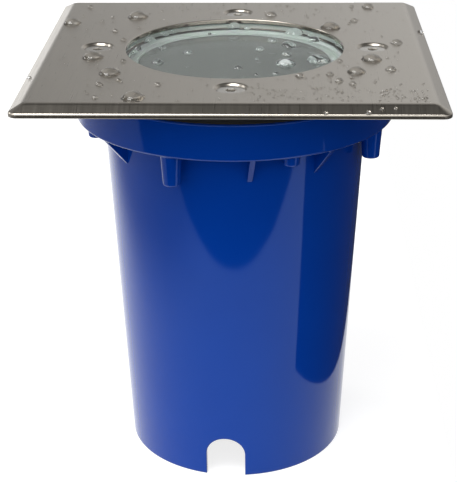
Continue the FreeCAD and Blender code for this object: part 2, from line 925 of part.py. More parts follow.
os.makedirs("parts", exist_ok=True)
for name, make in pieces.items():
    shape = make()
    shape.exportStep(f"parts/{name}.step")
    print(name, shape.ShapeType, "solids", len(shape.Solids), "valid", shape.isValid())
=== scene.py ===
import math

import bmesh
import bpy
import numpy as np
from mathutils import Matrix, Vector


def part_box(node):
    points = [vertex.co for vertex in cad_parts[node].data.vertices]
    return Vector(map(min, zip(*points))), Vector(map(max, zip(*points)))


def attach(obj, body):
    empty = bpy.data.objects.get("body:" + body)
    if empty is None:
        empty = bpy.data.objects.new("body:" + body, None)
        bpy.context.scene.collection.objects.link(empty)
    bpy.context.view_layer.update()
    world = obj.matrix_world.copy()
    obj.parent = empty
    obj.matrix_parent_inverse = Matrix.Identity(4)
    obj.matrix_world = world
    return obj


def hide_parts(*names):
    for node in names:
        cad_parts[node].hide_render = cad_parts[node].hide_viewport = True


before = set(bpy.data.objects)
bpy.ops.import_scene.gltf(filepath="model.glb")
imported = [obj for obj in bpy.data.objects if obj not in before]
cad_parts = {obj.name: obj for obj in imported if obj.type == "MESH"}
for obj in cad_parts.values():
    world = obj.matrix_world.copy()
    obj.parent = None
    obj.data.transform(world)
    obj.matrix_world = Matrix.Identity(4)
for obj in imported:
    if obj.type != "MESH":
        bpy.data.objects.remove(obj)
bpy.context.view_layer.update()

# ---------------------------------------------------------------------------------------------
# Mounting sleeve: the blue pot that is set into the ground first. One injection moulding in
# polypropylene: tapered body, collar, eight bosses and eight gussets under the collar, and a
# round-topped notch in the foot for the cable. Shapes are in millimetres, unless metres are named.
mm = 0.001
sleeve_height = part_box("mounting_sleeve")[1][2] / mm
collar_radius = 45.0
collar_wall = 2.2
collar_foot = sleeve_height - 10.0
shelf_top = collar_foot + 2.2
body_foot_radius = 32.0
body_top_radius = 37.2
sleeve_wall = 2.5
sleeve_edge_round = 0.45
notch_azimuth = math.radians(-4.4)
notch_half_width = 5.6
notch_arch_height = 6.9
notch_reach = 14.5             # stretch of foot on either side that bends round the notch
notch_fade_height = 34.0
flat_columns = 14              # of the mesh, on the flat foot beside the notch
side_columns = 10              # up a straight side of the notch
arch_columns = 33              # over its arch
far_columns = 300              # round the rest of the foot
edge_rows = 6
fade_rows = 18
fade_bend = 1.4                # above 1, so that the fade's rows are closest near the foot
boss_circle = 41.0
boss_count = 4                 # of each kind, with a gusset on either side of the short ones
long_boss = (3.0, 2.4, 8.8)    # root radius, tip radius and length
long_boss_azimuth = math.radians(-22.5)
short_boss = (2.45, 2.2, 3.1)
short_boss_azimuth = math.radians(22.5)
gusset_azimuths = (math.radians(7.5), math.radians(37.5))
gusset_height = 8.5
gusset_half_thickness = 0.7
seam_reach = 2e-7              # metres: points closer than this become one
least_edge = 1e-8              # metres: shorter edges are taken out


def softened(outline, rounds, steps=7):
    """Closed outline with each corner swapped for an arc of its own radius.

    The arc touches both sides: it starts radius / tan(half the corner's angle) before the corner
    and its centre lies radius / sin(half the angle) along the bisector. Returns corners by steps.
    """
    corners = np.asarray(outline, float)
    radius = np.maximum(np.asarray(rounds, float), 1e-4)[:, None]
    back = np.roll(corners, 1, axis=0) - corners
    ahead = np.roll(corners, -1, axis=0) - corners
    back /= np.linalg.norm(back, axis=1, keepdims=True)
    ahead /= np.linalg.norm(ahead, axis=1, keepdims=True)
    half = np.arccos(np.clip((back * ahead).sum(1, keepdims=True), -1, 1)) / 2
    bisector = back + ahead
    bisector /= np.linalg.norm(bisector, axis=1, keepdims=True)
    centre = corners + bisector * radius / np.sin(half)
    start = corners + back * radius / np.tan(half) - centre
    end = corners + ahead * radius / np.tan(half) - centre
    first = np.arctan2(start[:, 1], start[:, 0])
    turn = np.arctan2(end[:, 1], end[:, 0]) - first
    turn = (turn + math.pi) % (2 * math.pi) - math.pi
    angle = first[:, None] + turn[:, None] * np.linspace(0, 1, steps)
    arc = np.stack([np.cos(angle), np.sin(angle)], axis=-1)
    return centre[:, None, :] + radius[:, :, None] * arc


def lathed(profile, columns=256):
    """Closed profile of (radius, height) points turned once round Z, as a rows by columns grid."""
    turn = np.linspace(0, 2 * math.pi, columns, endpoint=False)
    radius, height = profile.reshape(-1, 2).T[:, :, None]
    return np.stack(np.broadcast_arrays(radius * np.sin(turn), -radius * np.cos(turn), height), -1)


def grid_faces(rows, columns, first=0, closed=True):
    """Quads of a grid whose columns close into rings, as indices of its corner points.

    Its rows close too, from the last back to the first, unless closed is False.
    """
    row, column = np.meshgrid(np.arange(rows), np.arange(columns), indexing="ij")
    below, beside = (row + 1) % rows, (column + 1) % columns
    quads = np.stack([row * columns + column, row * columns + beside,
                      below * columns + beside, below * columns + column], axis=-1) + first
    return quads[:None if closed else -1].reshape(-1, 4)


def around(grid, count, first=0.0):
    """Copies of a grid of points, evenly spaced round Z, as a list."""
    copies = []
    for place in range(count):
        a = first + 2 * math.pi * place / count
        turn = np.array([[math.cos(a), math.sin(a), 0], [-math.sin(a), math.cos(a), 0], [0, 0, 1]])
        copies.append(grid @ turn)
    return copies


def stitched(grids):
    """Points and faces of several closed grids as one mesh."""
    points, faces, first = [], [], 0
    for grid in grids:
        rows, columns = grid.shape[:2]
        faces += grid_faces(rows, columns, first).tolist()
        points.append(grid.reshape(-1, 3))
        first += rows * columns
    return np.concatenate(points), faces


def add_piece(name, points, faces, material, body, slot, stands_for=(), crease=32.0):
    """Mesh object in metres with merged seams, outward faces and soft shading up to an angle,
    whose flat faces shade flat."""
    mesh = bpy.data.meshes.new(name)
    mesh.from_pydata(np.asarray(points) * mm, [], faces)
    shape = bmesh.new()
    shape.from_mesh(mesh)
    bmesh.ops.remove_doubles(shape, verts=shape.verts, dist=seam_reach)
    bmesh.ops.dissolve_degenerate(shape, edges=shape.edges, dist=least_edge)
    bmesh.ops.recalc_face_normals(shape, faces=shape.faces)
    shape.to_mesh(mesh)
    shape.free()
    mesh.shade_smooth()
    mesh.set_sharp_from_angle(angle=math.radians(crease))
    mesh.materials.append(material)
    piece = bpy.data.objects.new(name, mesh)
    bpy.context.scene.collection.objects.link(piece)
    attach(piece, body)
    if stands_for:
        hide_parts(*stands_for)
    piece.modifiers.new("flat_faces_stay_flat", "WEIGHTED_NORMAL").keep_sharp = True
    return piece


def srgb(code, alpha=1.0):
    """Linear colour from an sRGB hex value."""
    parts = np.array([int(code[k:k + 2], 16) / 255 for k in (1, 3, 5)])
    low, high = parts / 12.92, ((parts + 0.055) / 1.055) ** 2.4
    return (*np.where(parts <= 0.04045, low, high).tolist(), alpha)


def add_node(tree, kind, inputs=(), **settings):
    """New shader node with its settings, each input given as a value or as another node's socket."""
    node = tree.nodes.new(kind)
    for setting, value in settings.items():
        setattr(node, setting, value)
    for socket, value in dict(inputs).items():
        if isinstance(value, bpy.types.NodeSocket):
            tree.links.new(value, node.inputs[socket])
        else:
            node.inputs[socket].default_value = value
    return node


def new_material(name, **surface):
    """Material with a Principled surface, its sockets set by name, underscores for spaces. Returns
    it with its node tree, the surface's shader and the place in the object's own axes."""
    material = bpy.data.materials.new(name)
    material.use_nodes = True
    tree = material.node_tree
    shader = next(node for node in tree.nodes if node.type == "BSDF_PRINCIPLED")
    for socket, value in surface.items():
        shader.inputs[socket.replace("_", " ")].default_value = value
    place = add_node(tree, "ShaderNodeTexCoord").outputs["Object"]
    return material, tree, shader, place


def blend_colours(tree, shader, factor, dark, light):
    """Base colour that wanders between two hex colours as the factor does."""
    mix = add_node(tree, "ShaderNodeMix", {0: factor, 6: srgb(dark), 7: srgb(light)},
                   data_type="RGBA")
    tree.links.new(mix.outputs[2], shader.inputs["Base Color"])


def set_bump(tree, shader, height, depth):
    """Bump of a real depth in metres from a 0 to 1 height."""
    bump = add_node(tree, "ShaderNodeBump", {"Height": height, "Distance": depth})
    tree.links.new(bump.outputs["Normal"], shader.inputs["Normal"])


def noise(tree, place, size, detail=2.0, roughness=0.5, stretch=(1, 1, 1)):
    """Noise whose blotches are about size millimetres, stretched by a factor along each axis."""
    scale = [1 / (size * mm * factor) for factor in stretch]
    mapped = add_node(tree, "ShaderNodeMapping", {"Vector": place, "Scale": scale})
    return add_node(tree, "ShaderNodeTexNoise", {
        "Vector": mapped.outputs["Vector"], "Scale": 1.0, "Detail": detail, "Roughness": roughness,
    }).outputs["Fac"]


def blue_polypropylene():
    """Gloss-moulded polypropylene: deep even blue under a bright skin that is faintly wavy. The
    pigment near the skin tints its gloss."""
    material, tree, shader, place = new_material(
        "moulded_blue_polypropylene", Roughness=0.07, IOR=1.49, Specular_Tint=srgb("#a4c2f6"))
    flow = noise(tree, place, 22, detail=3)
    blend_colours(tree, shader, flow, "#00328c", "#003896")
    waves = noise(tree, place, 14, detail=1)
    set_bump(tree, shader, waves, 0.00003)
    return material


sleeve_blue = blue_polypropylene()


def sleeve_radius(height):
    """Outer radius of the straight taper from foot to collar."""
    return body_foot_radius + (body_top_radius - body_foot_radius) * height / collar_foot


def foot_columns():
    """Foot line of the sleeve, unrolled, with the notch in the middle.

    For each column: distance along the foot, height, direction into the wall, azimuth where the
    column ends higher up, and how far it keeps to the notch's straight sides (1) or the round (0).
    """
    flat = np.linspace(-notch_reach, -notch_half_width, flat_columns, endpoint=False)
    rise = np.linspace(0, notch_arch_height, side_columns, endpoint=False)[1:]
    turn = np.linspace(math.pi, 0, arch_columns)
    along = np.concatenate([
        flat, [-notch_half_width], 0 * rise - notch_half_width, notch_half_width * np.cos(turn),
        0 * rise + notch_half_width, [notch_half_width], -flat[::-1]])
    height = np.concatenate([
        0 * flat, [0], rise, notch_arch_height + notch_half_width * np.sin(turn),
        rise[::-1], [0], 0 * flat])
    inward_x = np.concatenate([
        0 * flat, [-1], 0 * rise - 1, np.cos(turn), 0 * rise + 1, [1], 0 * flat])
    inward_z = np.concatenate([
        0 * flat + 1, [1], 0 * rise, np.sin(turn), 0 * rise, [1], 0 * flat + 1])
    span = notch_reach / body_foot_radius
    top = np.linspace(-span, span, along.size)
    straight = np.clip((notch_reach - np.abs(along)) / (notch_reach - notch_half_width), 0, 1)

    rest = np.linspace(span, 2 * math.pi - span, far_columns)[1:-1]
    blank = np.zeros_like(rest)
    return (
        np.concatenate([along, rest * body_foot_radius]),
        np.concatenate([height, blank]),
        np.concatenate([inward_x, blank]),
        np.concatenate([inward_z, blank + 1]),
        np.concatenate([top, rest]),
        np.concatenate([straight, blank]),
    )


def sleeve_shell():
    """Closed grid: rows go round the wall's section, columns round the sleeve.

    Low rows are inset from the foot line by the edge's round and then fade, straight up, into the
    even columns of the body, so that the notch's edge is a line of the mesh.
    """
    along, height, inward_x, inward_z, top, straight = foot_columns()
    edge = sleeve_edge_round
    angle = np.linspace(0, math.pi / 2, edge_rows)
    edge_depth = edge * (1 - np.sin(angle))
    edge_inset = edge * (1 - np.cos(angle))
    fade = np.linspace(0, 1, fade_rows) ** fade_bend

    def low_rows(depth, inset, share):
        """Rows by columns, from wall depth, inset from the foot line and share of the fade."""
        depth, inset, share = depth[:, None], inset[:, None], share[:, None]
        x = (along + inward_x * inset) * (1 - share) + top * body_foot_radius * share
        z = (height + inward_z * inset) * (1 - share) + notch_fade_height * share
        radius = sleeve_radius(z) - depth
        keep = straight * (1 - share)
        azimuth = keep * np.arcsin(np.clip(x / radius, -1, 1) * (keep > 0))
        azimuth = azimuth + (1 - keep) * x / body_foot_radius + notch_azimuth
        return np.stack([radius * np.sin(azimuth), -radius * np.cos(azimuth), z], axis=-1)

    zero, one = np.zeros(edge_rows), np.ones(fade_rows)
    outer_edge = low_rows(edge_depth, edge_inset, zero)
    outer_fade = low_rows(0 * one, edge * one, fade)
    inner_fade = low_rows(sleeve_wall * one, edge * one, fade)[::-1]
    inner_edge = low_rows(sleeve_wall - edge_depth, edge_inset, zero)[::-1]

    cup_radius = collar_radius - collar_wall
    low_radius = sleeve_radius(notch_fade_height)
    section = softened([
        (low_radius, notch_fade_height),
        (body_top_radius, collar_foot),
        (collar_radius, collar_foot),
        (collar_radius, sleeve_height),
        (cup_radius, sleeve_height),
        (cup_radius, shelf_top),
        (sleeve_radius(shelf_top) - sleeve_wall, shelf_top),
        (low_radius - sleeve_wall, notch_fade_height),
    ], [0, 0.8, 0.7, 0.45, 0.45, 0.5, 0.4, 0])[1:-1].reshape(-1, 2)
    radius, level = section.T[:, :, None]
    azimuth = top + notch_azimuth
    body = np.stack(np.broadcast_arrays(
        radius * np.sin(azimuth), -radius * np.cos(azimuth), level), axis=-1)
    return np.concatenate([outer_edge, outer_fade[1:], body, inner_fade[:-1], inner_edge])


def sleeve_boss(root_radius, tip_radius, length):
    """Tapered round boss with a flared root and a soft tip, under the collar's front."""
    tip = collar_foot - length
    section = softened([
        (0, collar_foot + 1), (root_radius + 0.5, collar_foot + 1), (root_radius + 0.5, collar_foot),
        (root_radius, collar_foot), (tip_radius, tip), (0, tip),
    ], [0, 0.05, 0.05, 0.5, 0.6, 0])
    return lathed(section, 48) + [0, -boss_circle, 0]


def sleeve_gusset():
    """Thin web from the body out to the collar: its outline is carried across the thickness,
    drawn in a little at both faces, and closed at the outline's middle."""
    foot = collar_foot - gusset_height
    outline = softened([
        (sleeve_radius(foot) - 0.8, foot - 0.4),
        (sleeve_radius(foot) + 0.1, foot),
        (collar_radius - 1.0, collar_foot - 0.1),
        (collar_radius - 1.2, collar_foot + 0.5),
        (sleeve_radius(collar_foot) - 0.8, collar_foot + 0.5),
    ], [0.1, 0.3, 0.3, 0.1, 0.1], 5).reshape(-1, 2)
    middle = outline.mean(axis=0)
    half = gusset_half_thickness
    across = np.array([-half, -half, 0.06 - half, 0.2 - half, half - 0.2, half - 0.06, half, half])
    inset = np.array([1.0, 0.06, 0.02, 0.0, 0.0, 0.02, 0.06, 1.0])[:, None, None]
    rows = outline * (1 - inset) + middle * inset
    across = np.broadcast_to(across[:, None], rows.shape[:2])
    return np.stack([across, -rows[:, :, 0], rows[:, :, 1]], axis=-1)


add_piece("sleeve_shell", *stitched([sleeve_shell()]), sleeve_blue, "sleeve", "blue_plastic",
          ["mounting_sleeve"])
long_bosses = around(sleeve_boss(*long_boss), boss_count, long_boss_azimuth)
short_bosses = around(sleeve_boss(*short_boss), boss_count, short_boss_azimuth)
add_piece("sleeve_bosses", *stitched(long_bosses + short_bosses), sleeve_blue, "sleeve",
          "blue_plastic", ["mounting_sleeve"])
gussets = [gusset for first in gusset_azimuths
           for gusset in around(sleeve_gusset(), boss_count, first)]
add_piece("sleeve_gussets", *stitched(gussets), sleeve_blue, "sleeve", "blue_plastic",
          ["mounting_sleeve"])


# ---------------------------------------------------------------------------------------------
# Lamp housing: one black moulding of glass-filled polyamide with a thick flange on the sleeve's
# collar, a tapered tube and a floor. Its glass fibres leave the skin slightly dull and grainy.
def black_polyamide(name, roughness):
    """Glass-filled polyamide: near black, satin, with the fine grain of a spark-eroded mould. Its gloss
    is turned down to 0.3 as painted shade, so that the flange shows dark under the cover; the gland
    takes the same dimmed gloss."""
    # Specular level 0.3 is painted shade: it dims the gloss so that the flange under the cover looks
    # shaded.
    material, tree, shader, place = new_material(
        name, Roughness=roughness, IOR=1.53, Specular_IOR_Level=0.3)
    blend_colours(tree, shader, noise(tree, place, 6, detail=4), "#0d0e10", "#17181b")
    set_bump(tree, shader, noise(tree, place, 0.5, detail=2), 0.00004)
    return material


def paint(node, material):
    """A carried-over solid keeps its shape and takes a finish."""
    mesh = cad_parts[node].data
    mesh.materials.clear()
    mesh.materials.append(material)


housing_black = black_polyamide("glass_filled_polyamide", 0.48)
paint("lamp_housing", housing_black)


# ---------------------------------------------------------------------------------------------
# Screw inserts: four turned brass bushes, pressed into the flange for the cover screws.
def turned_brass():
    """Machined brass: warm yellow metal with fine tool rings and a slight dull film."""
    material, tree, shader, place = new_material("turned_brass", Metallic=1.0, Roughness=0.3)
    blend_colours(tree, shader, noise(tree, place, 3, detail=3), "#a9853f", "#cfae62")
    set_bump(tree, shader, noise(tree, place, 0.4, stretch=(6, 6, 0.4)), 0.00002)
    return material


brass = turned_brass()
paint("screw_inserts", brass)
paint("terminal_screws", brass)
paint("socket_contacts", brass)


# ---------------------------------------------------------------------------------------------
# Cable gland under the floor: black polyamide body, locknut and cap with silicone washer and
# seal. The cap is a hexagon with a domed end, screwed on by hand.
def black_silicone():
    """Silicone rubber: soft black, almost without gloss, with a dusty bloom."""
    material, tree, shader, place = new_material("black_silicone", Roughness=0.62, IOR=1.43)
    blend_colours(tree, shader, noise(tree, place, 4, detail=4), "#101112", "#1e2022")
    set_bump(tree, shader, noise(tree, place, 0.6, detail=3), 0.00003)
    return material


gland_black = black_polyamide("satin_black_polyamide", 0.36)
seal_black = black_silicone()
paint("gland_body", gland_black)
paint("gland_locknut", gland_black)
paint("gland_cap", gland_black)
paint("gland_washer", seal_black)
paint("gland_seal", seal_black)


# ---------------------------------------------------------------------------------------------
# Bracket and small screws: zinc-plated pressed steel on the floor's two pillars, which carries
# the socket and the terminal block.
def zinc_plated_steel():
    """Bright zinc plate: bluish silver with faint cloudy spangle."""
    material, tree, shader, place = new_material("zinc_plated_steel", Metallic=1.0, Roughness=0.34)
    blend_colours(tree, shader, noise(tree, place, 2.5, detail=4), "#9aa0a6", "#c3c8cc")
    set_bump(tree, shader, noise(tree, place, 0.8, detail=2), 0.00002)
    return material


zinc = zinc_plated_steel()
for node in ("socket_bracket", "bracket_screws", "socket_screws", "block_screw"):
    paint(node, zinc)


# ---------------------------------------------------------------------------------------------
# Lamp socket: a pressed and fired steatite body with two keyhole slots, and two silicone-sleeved
# leads into the natural nylon terminal block beside it.
def steatite():
    """Unglazed technical ceramic: warm white, matt and very slightly gritty."""
    material, tree, shader, place = new_material("fired_steatite", Roughness=0.55, IOR=1.6)
    blend_colours(tree, shader, noise(tree, place, 5, detail=3), "#dedad0", "#ebe8e0")
    set_bump(tree, shader, noise(tree, place, 0.3, detail=3), 0.00002)
    return material


def natural_nylon():
    """Natural polyamide: milky, satin and faintly translucent."""
    material, tree, shader, place = new_material(
        "natural_polyamide", Roughness=0.42, IOR=1.53, Subsurface_Weight=0.15,
        Subsurface_Radius=(0.002, 0.002, 0.0015))
    blend_colours(tree, shader, noise(tree, place, 6, detail=2), "#d9d8cf", "#e6e5dd")
    return material


def silicone_sleeving():
    """Silicone lead insulation: off-white, soft sheen."""
    material, tree, shader, place = new_material("silicone_sleeving", Roughness=0.5, IOR=1.43)
    blend_colours(tree, shader, noise(tree, place, 3, detail=2), "#cfcabd", "#dedacf")
    return material


ceramic = steatite()
paint("lamp_socket", ceramic)
paint("terminal_block", natural_nylon())
paint("lead_wires", silicone_sleeving())


# ---------------------------------------------------------------------------------------------
# Reflector lamp, 50 mm: a spun aluminium bell with a clear front lens and a ceramic twist-lock
# base on two nickel-plated pins.
def spun_aluminium():
    """Spun aluminium: pale satin metal with fine rings round the axis."""
    material, tree, shader, place = new_material("spun_aluminium", Metallic=1.0, Roughness=0.32)
    blend_colours(tree, shader, noise(tree, place, 5, detail=3), "#c2c3c4", "#d6d7d7")
    set_bump(tree, shader, noise(tree, place, 0.6, stretch=(12, 12, 0.5)), 0.00002)
    return material


def nickel_plate():
    """Nickel plate: bright, faintly warm metal."""
    material, tree, shader, place = new_material("nickel_plate", Metallic=1.0, Roughness=0.2)
    blend_colours(tree, shader, noise(tree, place, 2, detail=2), "#b5afa5", "#ccc7be")
    return material


def clear_glass(name, tint, index):
    """Polished glass or clean water: colour only through its thickness. Returns what new_material
    does."""
    return new_material(
        name, Base_Color=srgb(tint), Roughness=0.0, IOR=index, Transmission_Weight=1.0)


paint("lamp_reflector", spun_aluminium())
paint("lamp_base", ceramic)
paint("lamp_pins", nickel_plate())
paint("lamp_lens", clear_glass("clear_lens_glass", "#f4f8f7", 1.5)[0])


# ---------------------------------------------------------------------------------------------
# Trim ring and diffuser: a pale satin moulding with a flat collar round the lamp's face and a low
# rim up to the glass, and the grey satin disc that drops into it.
ring_low, ring_high = (np.array(corner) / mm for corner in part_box("trim_ring"))
ring_top = ring_high[2]
ring_foot = ring_low[2]
diffuser_radius = 27.0
diffuser_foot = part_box("lamp_diffuser")[0][2] / mm
diffuser_gap = 0.2
ring_radius = 32.2
ring_thickness = 1.2
rim_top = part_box("window_glass")[0][2] / mm - 0.1
rim_root_radius = 30.0
rim_inner_radius = 30.2
rim_outer_radius = 30.7
skirt_outer_radius = 30.4
skirt_inner_radius = 29.0
ledge_radius = 25.3            # the diffuser stands on the ledge
ledge_thickness = 1.4


def pale_polycarbonate():
    """Satin polycarbonate: pale greenish white, faintly translucent."""
    material, tree, shader, place = new_material(
        "satin_polycarbonate", Roughness=0.42, IOR=1.58, Subsurface_Weight=0.1,
        Subsurface_Radius=(0.002, 0.003, 0.002))
    blend_colours(tree, shader, noise(tree, place, 8, detail=2), "#f8faf7", "#fcfdfa")
    return material


def grey_diffuser():
    """Satin grey acrylic: even mid grey with a very fine frosted grain."""
    material, tree, shader, place = new_material("frosted_grey_acrylic", Roughness=0.5, IOR=1.49)
    blend_colours(tree, shader, noise(tree, place, 1.2, detail=5), "#6a6967", "#73726f")
    set_bump(tree, shader, noise(tree, place, 0.4, detail=2), 0.00002)
    return material


ring_section = softened([
    (diffuser_radius + diffuser_gap, ring_top), (rim_root_radius, ring_top),
    (rim_inner_radius, rim_top), (rim_outer_radius, rim_top), (rim_outer_radius, ring_top),
    (ring_radius, ring_top), (ring_radius, ring_top - ring_thickness),
    (skirt_outer_radius, ring_top - ring_thickness), (skirt_outer_radius, ring_foot),
    (skirt_inner_radius, ring_foot), (skirt_inner_radius, diffuser_foot - ledge_thickness),
    (ledge_radius, diffuser_foot - ledge_thickness), (ledge_radius, diffuser_foot),
    (diffuser_radius + diffuser_gap, diffuser_foot),
], [0.25, 0.3, 0.15, 0.15, 0.1, 0.2, 0.2, 0.2, 0.3, 0.3, 0.3, 0.2, 0.2, 0.1])
add_piece("ring_moulding", *stitched([lathed(ring_section)]), pale_polycarbonate(), "luminaire",
          "pale_plastic", ["trim_ring"])
diffuser_section = softened([
    (0, diffuser_foot), (diffuser_radius, diffuser_foot), (diffuser_radius, ring_top), (0, ring_top),
], [0, 0.2, 0.3, 0])
add_piece("diffuser_disc", *stitched([lathed(diffuser_section)]), grey_diffuser(), "luminaire",
          "grey_diffuser", ["lamp_diffuser"])


# ---------------------------------------------------------------------------------------------
# Window: 8 mm toughened glass with ground and polished edges in a channel of black silicone,
# both held under the cover.
glass_low, glass_high = (np.array(corner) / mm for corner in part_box("window_glass"))
gasket_low, gasket_high = (np.array(corner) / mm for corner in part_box("glass_gasket"))
glass_radius = 32.4
window_radius = 30.4
lip_radius = window_radius + 0.5
gasket_radius = glass_radius + 0.65
gasket_gap = 0.05              # between the glass's edge and the channel
glass_bevel = 0.5

glass_section = softened([
    (0, glass_low[2]), (glass_radius - glass_bevel, glass_low[2]),
    (glass_radius, glass_low[2] + glass_bevel), (glass_radius, glass_high[2] - glass_bevel),
    (glass_radius - glass_bevel, glass_high[2]), (0, glass_high[2]),
], [0, 0.1, 0.1, 0.1, 0.1, 0])


def from_axis(tree, place):
    """Distance from the Z axis, in metres."""
    level = add_node(tree, "ShaderNodeVectorMath", {0: place, 1: (1, 1, 0)}, operation="MULTIPLY")
    return add_node(tree, "ShaderNodeVectorMath", {0: level.outputs["Vector"]},
                    operation="LENGTH").outputs["Value"]


def toughened_glass():
    """Clear glass, whose ground edge scatters light, so that it shows pale from the inside."""
    material, tree, shader, place = clear_glass("toughened_glass", "#edf5f2", 1.52)
    reach = from_axis(tree, place)
    for socket, clear, ground in (("Transmission Weight", 1.0, 0.1), ("Roughness", 0.0, 0.8)):
        edge = add_node(tree, "ShaderNodeMapRange", {
            "Value": reach, "From Min": (glass_radius - 0.1) * mm,
            "From Max": (glass_radius - 0.05) * mm, "To Min": clear, "To Max": ground})
        tree.links.new(edge.outputs["Result"], shader.inputs[socket])
    return material


add_piece("glass_disc", *stitched([lathed(glass_section)]), toughened_glass(), "cover",
          "clear_glass", ["window_glass"])
gasket_section = softened([
    (lip_radius, glass_high[2]), (lip_radius, gasket_high[2]), (gasket_radius, gasket_high[2]),
    (gasket_radius, gasket_low[2]), (lip_radius, gasket_low[2]), (lip_radius, glass_low[2]),
    (glass_radius + gasket_gap, glass_low[2]), (glass_radius + gasket_gap, glass_high[2]),
], [0.1, 0.1, 0.3, 0.3, 0.2, 0.2, 0.02, 0.02])
add_piece("gasket_channel", *stitched([lathed(gasket_section)]), seal_black, "cover",
          "black_rubber", ["glass_gasket"])


# ---------------------------------------------------------------------------------------------
# Cover: 1.2 mm stainless sheet pressed into a square tray with a sloping edge, a round window
# and four countersunk dimples, then brushed from front to back.
cover_low, cover_high = (np.array(corner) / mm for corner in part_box("cover_plate"))
cover_top = cover_high[2]
cover_side = cover_high[0] - cover_low[0]
cover_sheet = 1.2
cover_corner = 2.5
corner_loss = 0.45             # of the corner's radius, for each millimetre of inset
least_corner = 0.9
cover_drop = cover_top - cover_low[2]
bevel_width = 3.5
bevel_drop = 1.85
screw_circle = 38.5
dimple_radius = 4.4
dimple_hole_radius = 2.25
dimple_foot = 2.9
flat_lap = 0.06                # level strip round each opening, so that the flat face shades flat
side_steps = 24
corner_steps = 12
window_points = 256
dimple_points = 96


def square_ring(inset, corner):
    """Points of a rounded square, inset from the cover's outline: each corner is a quarter turn
    about its own centre, and each side is evenly divided."""
    half = cover_side / 2 - inset
    reach = half - corner
    turn = np.linspace(0, math.pi / 2, corner_steps + 1)
    bend = np.stack([reach + corner * np.sin(turn), -reach - corner * np.cos(turn)], axis=-1)
    straight = np.linspace(-reach, reach, side_steps + 1)[1:-1]
    side = np.stack([straight, 0 * straight - half], axis=-1)
    quarter = np.concatenate([side, bend])
    spin = [np.array([[c, s], [-s, c]]) for c, s in ((1, 0), (0, 1), (-1, 0), (0, -1))]
    return np.concatenate([quarter @ turned for turned in spin])


def circle_ring(radius, centre, count):
    """Evenly spaced points of a circle."""
    turn = np.linspace(0, 2 * math.pi, count, endpoint=False)
    return np.stack([centre[0] + radius * np.cos(turn), centre[1] + radius * np.sin(turn)], axis=-1)


def strip(rings, heights):
    """Grid of points from outlines of equal count, each at its own height."""
    level = np.broadcast_to(np.asarray(heights, float)[:, None, None], (len(rings), len(rings[0]), 1))
    return np.concatenate([np.stack(rings), level], axis=-1)


def lapped(outline, rounds, steps):
    """Softened section between two flat faces, with a level strip at both ends. The outline's
    first and last corners lie out on the faces and are left off."""
    section = softened(outline, rounds, steps)[1:-1].reshape(-1, 2)
    return np.concatenate([section[:1] + [flat_lap, 0], section, section[-1:] + [flat_lap, 0]])


def rim_strip():
    """Cover's edge from the flat face over the slope, down the rim and back up inside."""
    slope = math.atan2(bevel_drop, bevel_width)
    inner_flat = bevel_width + cover_sheet * math.tan(slope / 2)
    inner_drop = (cover_sheet + math.sin(slope) * (bevel_width - cover_sheet)) / math.cos(slope)
    section = lapped([
        (bevel_width + 3, 0), (bevel_width, 0), (0, -bevel_drop), (0, -cover_drop),
        (cover_sheet, -cover_drop), (cover_sheet, -inner_drop), (inner_flat, -cover_sheet),
        (bevel_width + 3, -cover_sheet),
    ], [0, 3.5, 0.6, 0.2, 0.2, 0.3, 0.8, 0], 9)
    corner = np.clip(cover_corner - section[:, 0] * corner_loss, least_corner, None)
    rings = [square_ring(inset, turn) for inset, turn in zip(section[:, 0], corner)]
    return strip(rings, cover_top + section[:, 1])


def window_strip():
    """Punched window edge: rolled over on top, straight below."""
    section = lapped([
        (window_radius + 2, 0), (window_radius, 0), (window_radius, -cover_sheet),
        (window_radius + 2, -cover_sheet),
    ], [0, 0.28, 0.1, 0], 7)
    rings = [circle_ring(radius, (0, 0), window_points) for radius in section[:, 0]]
    return strip(rings, cover_top + section[:, 1])


def dimple_strip(centre):
    """Pressed countersink: soft rolled mouth, straight cone, drilled hole and the cone's back."""
    depth = dimple_radius - dimple_hole_radius
    back = dimple_radius + cover_sheet * math.sqrt(2)
    section = lapped([
        (back + 2, 0), (dimple_radius, 0), (dimple_hole_radius, -depth),
        (dimple_hole_radius, -dimple_foot), (back - dimple_foot, -dimple_foot),
        (back - cover_sheet, -cover_sheet), (back + 2, -cover_sheet),
    ], [0, 0.9, 0.15, 0.15, 0.3, 0.5, 0], 9)
    rings = [circle_ring(radius, centre, dimple_points) for radius in section[:, 0]]
    return strip(rings, cover_top + section[:, 1])


def filled_face(loops):
    """Flat face between an outline and the holes in it, as triangles."""
    shape = bmesh.new()
    for loop in loops:
        corners = [shape.verts.new(point) for point in loop]
        for start, end in zip(corners, corners[1:] + corners[:1]):
            shape.edges.new((start, end))
    bmesh.ops.triangle_fill(shape, use_beauty=True, edges=shape.edges)
    shape.verts.index_update()
    points = np.array([corner.co for corner in shape.verts])
    faces = [[corner.index for corner in face.verts] for face in shape.faces]
    shape.free()
    return points, faces


def cover_mesh():
    """Strips round the rim, the window and the dimples, joined by the two flat faces."""
    compass = [(0, -screw_circle), (screw_circle, 0), (0, screw_circle), (-screw_circle, 0)]
    strips = [rim_strip(), window_strip()] + [dimple_strip(centre) for centre in compass]
    points, faces, first = [], [], 0
    for grid in strips:
        rows, columns = grid.shape[:2]
        faces += grid_faces(rows, columns, first, closed=False).tolist()
        points.append(grid.reshape(-1, 3))
        first += rows * columns
    for row in (0, -1):
        corners, triangles = filled_face([grid[row] for grid in strips])
        faces += [[index + first for index in triangle] for triangle in triangles]
        points.append(corners)
        first += len(corners)
    return np.concatenate(points), faces


